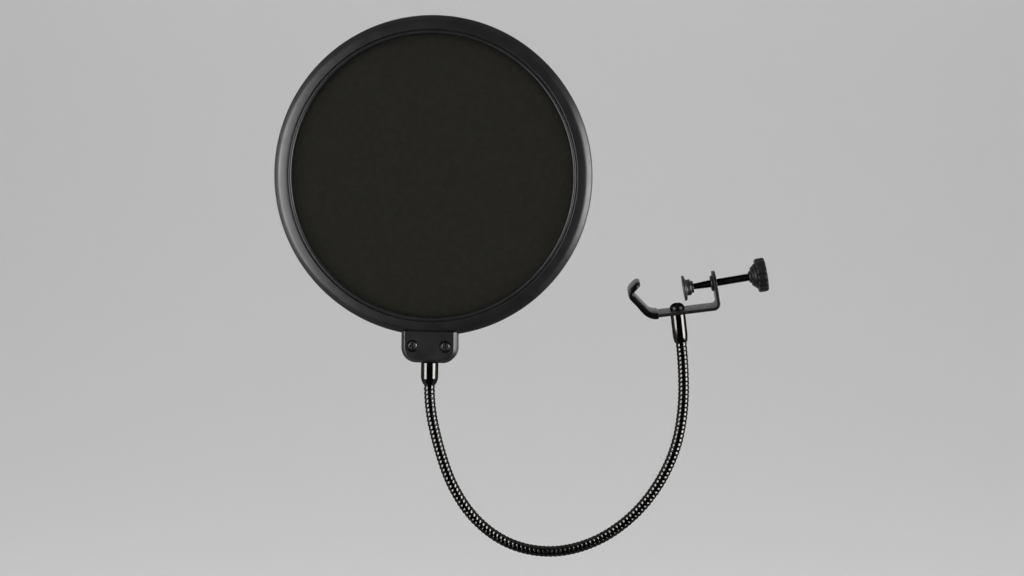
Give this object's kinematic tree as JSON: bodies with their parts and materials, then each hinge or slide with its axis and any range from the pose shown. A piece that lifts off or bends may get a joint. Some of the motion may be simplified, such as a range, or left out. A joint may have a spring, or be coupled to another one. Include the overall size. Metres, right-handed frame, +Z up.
{
  "type": "pop filter",
  "caption": "Round double-screen pop filter in a plastic hoop, on a bendable gooseneck arm with a screw clamp that grips a microphone stand.",
  "frame": {"origin": "middle of the clamp's jaw, where the stand's tube is gripped", "axes": "+Z up, +X from the hoop towards the clamp, -Y the side of the hoop that the user speaks to"},
  "size_m": [0.2475, 0.0299, 0.2729],
  "materials": {
    "shell_plastic": "satin black moulded plastic",
    "nylon_screen": "fine black nylon knit",
    "inner_plastic": "plain black plastic",
    "screw_steel": "zinc plated steel",
    "black_metal": "glossy black",
    "neck_metal": "glossy black wound wire",
    "clamp_metal": "satin black",
    "sleeve_vinyl": "soft glossy black vinyl",
    "thread_steel": "blackened steel",
    "pad_metal": "blackened, worn to bare metal on the face",
    "knob_plastic": "dark moulded plastic"
  },
  "bodies": {
    "clamp": {"clamp_frame": "clamp_metal", "hook_sleeve": "sleeve_vinyl", "screw_boss": "clamp_metal"},
    "arm_base": {"clamp_ferrule": "black_metal", "stud_washer": "black_metal", "stud_nut": "black_metal", "neck_12": "neck_metal"},
    "link_11": {"neck_11": "neck_metal"},
    "link_10": {"neck_10": "neck_metal"},
    "link_09": {"neck_09": "neck_metal"},
    "link_08": {"neck_08": "neck_metal"},
    "link_07": {"neck_07": "neck_metal"},
    "link_06": {"neck_06": "neck_metal"},
    "link_05": {"neck_05": "neck_metal"},
    "link_04": {"neck_04": "neck_metal"},
    "link_03": {"neck_03": "neck_metal"},
    "link_02": {"neck_02": "neck_metal"},
    "head": {"neck_01": "neck_metal", "head_ferrule": "black_metal", "front_ring": "shell_plastic", "rear_ring": "shell_plastic", "front_mesh": "nylon_screen", "rear_mesh": "nylon_screen", "mesh_spacer": "inner_plastic", "neck_screws": "screw_steel"},
    "pad": {"swivel_pad": "pad_metal"},
    "screw": {"clamp_screw": "thread_steel", "knob": "knob_plastic"}
  },
  "joints": [
    {"name": "clamp_swivel", "type": "hinge", "parent": "clamp", "child": "arm_base", "pos_m": [0.00945, 0.00111, -0.01165], "axis": [-0.1262, -0.1078, 0.9861], "range_deg": [-90, 90]},
    {"name": "neck_bend_11", "type": "hinge", "parent": "arm_base", "child": "link_11", "pos_m": [0.01315, 0.00518, -0.04872], "axis": [-0.0202, -0.9936, -0.1112], "range_deg": [-0.52, 13.69]},
    {"name": "neck_sway_10", "type": "hinge", "parent": "link_11", "child": "link_10", "pos_m": [0.01189, 0.00679, -0.07023], "axis": [-0.9891, 0.0104, 0.1471], "range_deg": [-10.05, 10.05]},
    {"name": "neck_bend_09", "type": "hinge", "parent": "link_10", "child": "link_09", "pos_m": [0.00584, 0.0076, -0.09093], "axis": [-0.0157, -0.9993, -0.035], "range_deg": [-1.08, 30.41]},
    {"name": "neck_sway_08", "type": "hinge", "parent": "link_09", "child": "link_08", "pos_m": [-0.00548, 0.0076, -0.1093], "axis": [-0.7755, 0, 0.6314], "range_deg": [-10.05, 10.05]},
    {"name": "neck_bend_07", "type": "hinge", "parent": "link_08", "child": "link_07", "pos_m": [-0.02132, 0.0076, -0.12394], "axis": [0, -1, 0], "range_deg": [-1.21, 33.93]},
    {"name": "neck_sway", "type": "hinge", "parent": "link_07", "child": "link_06", "pos_m": [-0.04086, 0.0076, -0.13299], "axis": [-0.2597, 0, 0.9657], "range_deg": [-10, 10]},
    {"name": "neck_bend", "type": "hinge", "parent": "link_06", "child": "link_05", "pos_m": [-0.06232, 0.0076, -0.13415], "axis": [0, -1, 0], "range_deg": [-1.5, 44]},
    {"name": "neck_sway_04", "type": "hinge", "parent": "link_05", "child": "link_04", "pos_m": [-0.08228, 0.0076, -0.12625], "axis": [0.5642, 0, 0.8256], "range_deg": [-10.05, 10.05]},
    {"name": "neck_bend_03", "type": "hinge", "parent": "link_04", "child": "link_03", "pos_m": [-0.09746, 0.0076, -0.11101], "axis": [0, -1, 0], "range_deg": [-1.32, 37.45]},
    {"name": "neck_sway_02", "type": "hinge", "parent": "link_03", "child": "link_02", "pos_m": [-0.10707, 0.0076, -0.09169], "axis": [0.9469, 0, 0.3214], "range_deg": [-10.05, 10.05]},
    {"name": "neck_bend_01", "type": "hinge", "parent": "link_02", "child": "head", "pos_m": [-0.11284, 0.0076, -0.07084], "axis": [0, -1, 0], "range_deg": [-0.57, 15.45]},
    {"name": "screw_travel", "type": "slide", "parent": "clamp", "child": "pad", "axis": [-0.9845, 0.0391, -0.1712], "range_m": [-0.0084, 0.0155]},
    {"name": "screw_turn", "type": "hinge", "parent": "pad", "child": "screw", "pos_m": [0.01202, -0.00022, -0.00021], "axis": [-0.9845, 0.0391, -0.1712], "range_deg": [-4345.7, 7997.1]}
  ],
  "couplings": [
    {"joint": "neck_bend_11", "follows": "neck_bend", "ratio": 0.31},
    {"joint": "neck_sway_10", "follows": "neck_sway", "ratio": 1},
    {"joint": "neck_bend_09", "follows": "neck_bend", "ratio": 0.69},
    {"joint": "neck_sway_08", "follows": "neck_sway", "ratio": 1},
    {"joint": "neck_bend_07", "follows": "neck_bend", "ratio": 0.77},
    {"joint": "neck_sway_04", "follows": "neck_sway", "ratio": 1},
    {"joint": "neck_bend_03", "follows": "neck_bend", "ratio": 0.85},
    {"joint": "neck_sway_02", "follows": "neck_sway", "ratio": 1},
    {"joint": "neck_bend_01", "follows": "neck_bend", "ratio": 0.35},
    {"joint": "screw_turn", "follows": "screw_travel", "rad_per_m": 8976}
  ]
}
